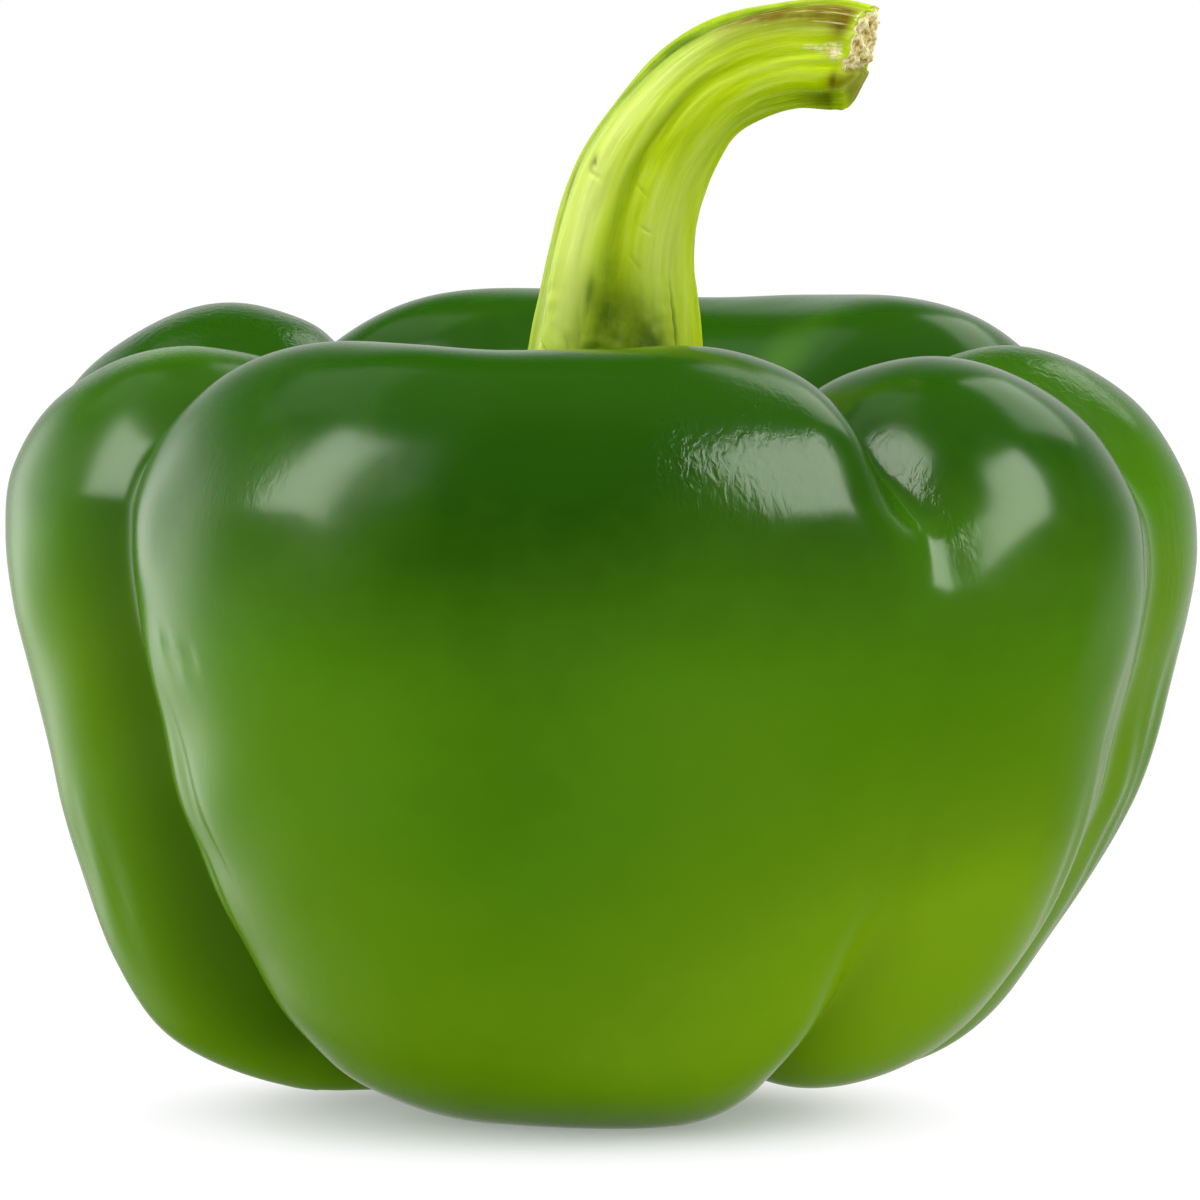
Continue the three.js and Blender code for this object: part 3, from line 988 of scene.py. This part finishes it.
def vein_lines(azimuth):
    """1 along the veins of the sepals and 0 between them."""
    half_turns = np.radians(SEPALS * VEINS_A_SEPAL * (azimuth - SEPAL_TURN)) / 2
    return np.abs(np.cos(half_turns)) ** VEIN_SHARPNESS


def calyx_under(azimuth, share):
    """The calyx's underside, just clear of the hollow, at a share of the way to its edge."""
    azimuth, share = np.broadcast_arrays(azimuth, share)
    wave = np.abs(np.cos(np.radians(SEPALS * (azimuth - SEPAL_TURN)) / 2))
    edge = CALYX_RADIUS + SEPAL_LENGTH * wave ** SEPAL_SHARPNESS
    points = fruit_points(azimuth, share * edge / HOLLOW_SCALE)
    points[..., 2] += CALYX_GAP
    return points


def calyx_upper(azimuth, share, vein_height):
    """The calyx's upper face: flat under the stem, thin at its edge, with its veins."""
    points = calyx_under(azimuth, share)
    radius = np.hypot(points[..., 0], points[..., 1])
    out = smooth(CALYX_SEAT, CALYX_RADIUS, radius)
    rim = points[..., 2] + CALYX_RIM * (1 - CALYX_RIM_THINNING * smooth(*RIM_THINS, share))
    points[..., 2] = (1 - out) * CALYX_TOP + out * rim
    standing = smooth(*VEINS_RISE, share) * (1 - smooth(*VEINS_SINK, share))
    points[..., 2] += vein_height * vein_lines(azimuth) * standing
    return points


class PEPPER_OT_grow_stem(bpy.types.Operator):
    """Grow the stem: ribbed, curved over, with a dry fibrous cut end and a rounded knob below it"""

    bl_idname = "pepper.grow_stem"
    bl_label = "Grow stem"

    def execute(self, context):
        settings = context.scene.pepper_stem
        turn = np.linspace(0, 360, settings.steps_around, endpoint=False)[None]
        t = np.linspace(0, 1, settings.rings)[:, None]
        body, middle, tangent, ribs = stem_body(t, turn)
        steps = np.linalg.norm(np.diff(middle[:, 0], axis=0), axis=1)
        length = np.concatenate([[0], np.cumsum(steps)])[:, None]
        grain = cylinder_points(GRAIN_RADIUS, turn, GRAIN_STRETCH * length)
        relief = stem_relief(t, turn, length, grain, settings.fibre_height / MM)
        body = body + grid_normals(body[::-1])[::-1] * relief[..., None]
        end, bare, share = cut_end(body[-1], middle[-1], tangent[-1], turn)
        rings = np.concatenate([body, end])[::-1] + axis_shift()
        _, high = (np.array(corner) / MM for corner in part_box("stem"))
        rings = np.minimum(rings, high - BOX_INSET)
        new_piece(
            "curved_stem", rings[0].mean(0), rings, rings[-1].mean(0), stem_tissue(settings),
            "stem", stem_values(t, turn, grain, ribs, bare, share),
        )
        return {"FINISHED"}


def stem_body(t, turn):
    """Rings round the stem's middle line with its ribs, the middle line, its way on, the ribs."""
    line = along(SPINE, t)
    middle, radius = line[..., :3], line[..., 3]
    tangent = along(SPINE, t + SPINE_STEP)[..., :3] - along(SPINE, t - SPINE_STEP)[..., :3]
    tangent /= np.linalg.norm(tangent, axis=-1, keepdims=True)
    inner = np.cross((0, 1, 0), tangent)
    inner /= np.linalg.norm(inner, axis=-1, keepdims=True)
    back = np.cross(tangent, inner)
    slanted = inner - CUT_SLANT * smooth(CUT_SLANT_FROM, 1, t)[..., None] * tangent
    ribs = 1 + sum(
        height * np.cos(np.radians(count * (turn - at - twist * t)))
        for count, height, at, twist in RIBS
    )
    angle = np.radians(turn)[..., None]
    spoke = np.cos(angle) * slanted + np.sin(angle) * back
    return middle + (radius * ribs)[..., None] * spoke, middle, tangent, ribs


def stem_relief(t, turn, length, grain, fibre_height):
    """How far the stem's skin stands out: fibres, soft lumps, wrinkles and nicks."""
    radius = along(SPINE, t)[..., 3]
    width, fine_width = FIBRE_WIDTHS
    fibres = swell(grain, width, 21, 40) + FINE_FIBRE_SHARE * swell(grain, fine_width, 22, 40)
    lumps = LUMP_HEIGHT * swell(grain * LUMP_SHORTENING, LUMP_SIZE, 23)
    across_grain = np.stack(np.broadcast_arrays(WRINKLE_TURN_SCALE * turn, 0, length), -1)
    field_size, wrinkle_size = WRINKLE_SIZES
    shown = smooth(*WRINKLES_SHOW, swell(across_grain, field_size, 25))
    wrinkled = np.exp(-((t - WRINKLES_AT) / WRINKLES_SPREAD) ** 2) * shown
    wrinkles = WRINKLE_HEIGHT * wrinkled * swell(across_grain, wrinkle_size, 24, 40)
    relief = fibre_height * fibres + lumps + wrinkles
    for at, turn_at, *nick in STEM_NICKS:
        onwards = length - np.interp(at, t[:, 0], length[:, 0])
        relief = relief - nick_depth(np.radians(wrapped(turn - turn_at)) * radius, onwards, *nick)
    return relief


def cut_end(rim, middle, tangent, turn):
    """Rings that close the stem: a rough cut face, and a rounded knob below a crease. Also how
    bare and dry each point is, and its share of the way out to the rim."""
    share = np.concatenate([np.linspace(*run) for run in END_RINGS])[:, None]
    flat = middle + (rim - middle) * share[..., None]
    down = share * np.cos(np.radians(turn))
    knob = smooth(*KNOB_SETS_IN, down)
    crease = CREASE_DEPTH * np.exp(-((down - CREASE_AT) / CREASE_SPREAD) ** 2)
    rough = sum(rise * swell(flat, size, seed, waves) for size, rise, seed, waves in CUT_BUMPS)
    inside = 1 - share ** CUT_EDGE_SHARPNESS
    cut = CUT_RISE * inside + rough
    round_knob = KNOB_HEIGHT * np.sqrt(1 - share ** 2)
    onwards = cut * (1 - knob) + round_knob * knob - crease * inside
    return flat + onwards[..., None] * tangent, (1 - knob) * smooth(*CUT_BARE, share), share


def stem_values(t, turn, grain, ribs, bare, share):
    """What the stem's material reads, for its rings from the cut end down."""
    closed = np.zeros_like(bare)
    near_end = patches(BROWN_PATCHES, 1, turn) + closed
    nearness = np.exp(-(wrapped(turn - DEEP_GROOVE) / DEEP_GROOVE_SPREAD) ** 2)
    deepness = ELSEWHERE + (1 - ELSEWHERE) * nearness
    inward = BROWN_RIM_STRENGTH * smooth(*BROWN_RIM, share)
    values = {
        "groove": (smooth(*GROOVE_SHOWS, 1 - ribs) * deepness, closed),
        "pale": (patches(PALE_BANDS, t, turn), closed),
        "olive_and_shade": (patches(OLIVE_PATCHES_AND_SHADE, t, turn), patches(OLIVE_PATCHES_AND_SHADE, 1, turn) + closed),
        "browned": (patches(BROWN_PATCHES, t, turn), np.maximum(near_end, inward)),
        "dried": (patches(DRY_PATCHES, t, turn), bare),
    }
    joined = {name: np.clip(np.concatenate(pair), 0, 1)[::-1] for name, pair in values.items()}
    end_grain = np.broadcast_to(grain[-1], (*bare.shape, 3))
    joined["grain"] = np.concatenate([grain, end_grain])[::-1]
    return joined


class PEPPER_OT_add_blossom_scar(bpy.types.Operator):
    """Add the blossom scar: the small corky button in the middle of the underside"""

    bl_idname = "pepper.add_blossom_scar"
    bl_label = "Add blossom scar"

    def execute(self, context):
        settings = context.scene.pepper_scar
        azimuth = np.linspace(0, 360, SCAR_STEPS_AROUND, endpoint=False)[None]
        t = np.linspace(0, 1, SCAR_RINGS)[:, None]
        radius, height = np.moveaxis(along(SCAR_PROFILE, t), -1, 0)
        rings = cylinder_points(radius, azimuth, height)
        uneven = settings.unevenness / MM * swell(rings, CORK_BUMPS, 41, 20)
        rings = rings + grid_normals(rings) * uneven[..., None] + axis_shift()
        new_piece(
            "blossom_scar", rings[0].mean(0), rings, rings[-1].mean(0), corky_scar(settings),
        )
        return {"FINISHED"}


class PEPPER_OT_set_studio(bpy.types.Operator):
    """Set the studio: a light table, four cards and a softbox, the white surround, the camera"""

    bl_idname = "pepper.set_studio"
    bl_label = "Set studio"

    def execute(self, context):
        settings = context.scene.pepper_studio
        add_board(settings)
        for card in CARDS:
            add_light(*card, settings.card_brightness).visible_diffuse = False
        add_light(*SOFTBOX, settings.softbox_brightness).visible_glossy = False
        set_surround(settings)
        add_camera()
        context.scene.view_settings.view_transform = "Standard"
        return {"FINISHED"}


def add_board(settings):
    """The round light table that the pepper stands on."""
    turn = np.linspace(0, 360, BOARD_SIDES, endpoint=False)
    points = cylinder_points(settings.board_radius, turn, 0) + (0, settings.board_set_back, 0)
    mesh = bpy.data.meshes.new("light_table")
    mesh.from_pydata(points.tolist(), [], [tuple(range(len(turn)))])
    mesh.materials.append(lit_acrylic(settings))
    board = bpy.data.objects.new("light_table", mesh)
    bpy.context.scene.collection.objects.link(board)
    board.visible_glossy = False


def add_light(name, azimuth, elevation, width, height, brightness, share):
    """A flat light that looks at the pepper."""
    light = bpy.data.lights.new(name, "AREA")
    light.shape = "RECTANGLE"
    light.size = width
    light.size_y = height
    light.energy = brightness * share * np.pi * width * height
    light.color = LIGHT_TINT
    lamp = bpy.data.objects.new(name, light)
    a, e = np.radians((azimuth, elevation))
    away = Vector((np.sin(a) * np.cos(e), -np.cos(a) * np.cos(e), np.sin(e)))
    lamp.location = Vector((0, 0, CAMERA_TARGET_HEIGHT)) + away * CAMERA_BACK
    lamp.rotation_euler = away.to_track_quat("Z", "Y").to_euler()
    bpy.context.scene.collection.objects.link(lamp)
    return lamp


def set_surround(settings):
    """White all round to look at and for soft light. The gloss mirrors only a large window on the
    left, brighter to the rear, and a pale backdrop, and less of both from above and below."""
    world = bpy.data.worlds.new("white_surround")
    world.use_nodes = True
    tree = world.node_tree
    tree.nodes.clear()
    way = add_node(tree, "ShaderNodeTexCoord", take="Generated")
    right = add_node(tree, "ShaderNodeSeparateXYZ", {0: way}, take="X")
    back, up = (right.node.outputs[name] for name in ("Y", "Z"))
    leftward = add_node(tree, "ShaderNodeMapRange", {
        "Value": right, "From Min": -0.4, "From Max": -0.8,
    }, interpolation_type="SMOOTHSTEP")
    rearward = add_node(tree, "ShaderNodeMapRange", {
        "Value": back, "From Min": -0.3, "From Max": 0.5,
        "To Min": settings.mirrored_left, "To Max": settings.mirrored_rear,
    }, interpolation_type="SMOOTHSTEP")
    low_down = add_node(tree, "ShaderNodeMapRange", {
        "Value": up, "From Min": 0.25, "From Max": 0.75, "To Min": 1, "To Max": 0,
    }, interpolation_type="SMOOTHSTEP")
    window = add_node(tree, "ShaderNodeMath", {0: leftward, 1: rearward}, operation="MULTIPLY")
    backdrop = add_node(tree, "ShaderNodeMapRange", {
        "Value": back, "From Min": 0.2, "From Max": 1, "To Max": settings.mirrored_backdrop,
    }, interpolation_type="SMOOTHERSTEP")
    lit = add_node(tree, "ShaderNodeMath", {0: window, 1: backdrop}, operation="ADD")
    raised = add_node(tree, "ShaderNodeMapRange", {
        "Value": up, "From Min": -0.6, "From Max": -0.1, "To Min": 0.3,
    }, interpolation_type="SMOOTHSTEP")
    level = add_node(tree, "ShaderNodeMath", {0: low_down, 1: raised}, operation="MULTIPLY")
    mirrored = add_node(tree, "ShaderNodeMath", {0: lit, 1: level}, operation="MULTIPLY")
    glossy = add_node(tree, "ShaderNodeLightPath", take="Is Glossy Ray")
    rightward = add_node(tree, "ShaderNodeMapRange", {
        "Value": right, "From Min": 0.2, "From Max": 0.8,
        "To Min": settings.surround, "To Max": settings.surround_right,
    }, interpolation_type="SMOOTHSTEP")
    daylight = add_node(tree, "ShaderNodeMapRange", {
        "Value": leftward, "To Min": rightward, "To Max": settings.surround_left,
    })
    strength = add_node(tree, "ShaderNodeMix", {
        0: glossy, 2: daylight, 3: mirrored,
    }, data_type="FLOAT")
    light = add_node(tree, "ShaderNodeBackground", {"Color": (1, 1, 1, 1), "Strength": strength})
    add_node(tree, "ShaderNodeOutputWorld", {"Surface": light})
    world.cycles.sampling_method = "NONE"
    bpy.context.scene.world = world


def add_camera():
    """The photograph's view: a long lens, a little above the fruit."""
    data = bpy.data.cameras.new("camera")
    camera = bpy.data.objects.new("camera", data)
    x, y, _ = axis_shift() * MM
    camera.location = (x, y - CAMERA_BACK, CAMERA_HEIGHT)
    away = Vector((0, -CAMERA_BACK, CAMERA_HEIGHT - CAMERA_TARGET_HEIGHT))
    camera.rotation_euler = away.to_track_quat("Z", "Y").to_euler()
    data.sensor_width = SENSOR
    data.lens = SENSOR * away.length / PHOTO_SPAN
    bpy.context.scene.collection.objects.link(camera)
    bpy.context.scene.camera = camera


class VIEW3D_PT_pepper(bpy.types.Panel):
    """The pepper's pieces and their settings"""

    bl_label = "Bell pepper"
    bl_space_type = "VIEW_3D"
    bl_region_type = "UI"
    bl_category = "Pepper"

    def draw(self, context):
        for operator, group in STEPS:
            self.layout.operator(operator)
            settings = getattr(context.scene, group)
            for name in settings.__annotations__:
                self.layout.prop(settings, name)


GROUPS = {
    "pepper_skin": PepperSkinSettings,
    "pepper_calyx": PepperCalyxSettings,
    "pepper_stem": PepperStemSettings,
    "pepper_scar": PepperScarSettings,
    "pepper_studio": PepperStudioSettings,
}
STEPS = (
    ("pepper.grow_fruit", "pepper_skin"),
    ("pepper.grow_calyx", "pepper_calyx"),
    ("pepper.grow_stem", "pepper_stem"),
    ("pepper.add_blossom_scar", "pepper_scar"),
    ("pepper.set_studio", "pepper_studio"),
)
CLASSES = (
    *GROUPS.values(),
    PEPPER_OT_grow_fruit,
    PEPPER_OT_grow_calyx,
    PEPPER_OT_grow_stem,
    PEPPER_OT_add_blossom_scar,
    PEPPER_OT_set_studio,
    VIEW3D_PT_pepper,
)


def register():
    for cls in CLASSES:
        bpy.utils.register_class(cls)
    for name, group in GROUPS.items():
        setattr(bpy.types.Scene, name, PointerProperty(type=group))


def unregister():
    for name in GROUPS:
        delattr(bpy.types.Scene, name)
    for cls in reversed(CLASSES):
        bpy.utils.unregister_class(cls)


def main():
    register()
    bpy.ops.pepper.grow_fruit()
    bpy.ops.pepper.grow_calyx()
    bpy.ops.pepper.grow_stem()
    bpy.ops.pepper.add_blossom_scar()
    bpy.ops.pepper.set_studio()


if __name__ == "__main__":
    main()
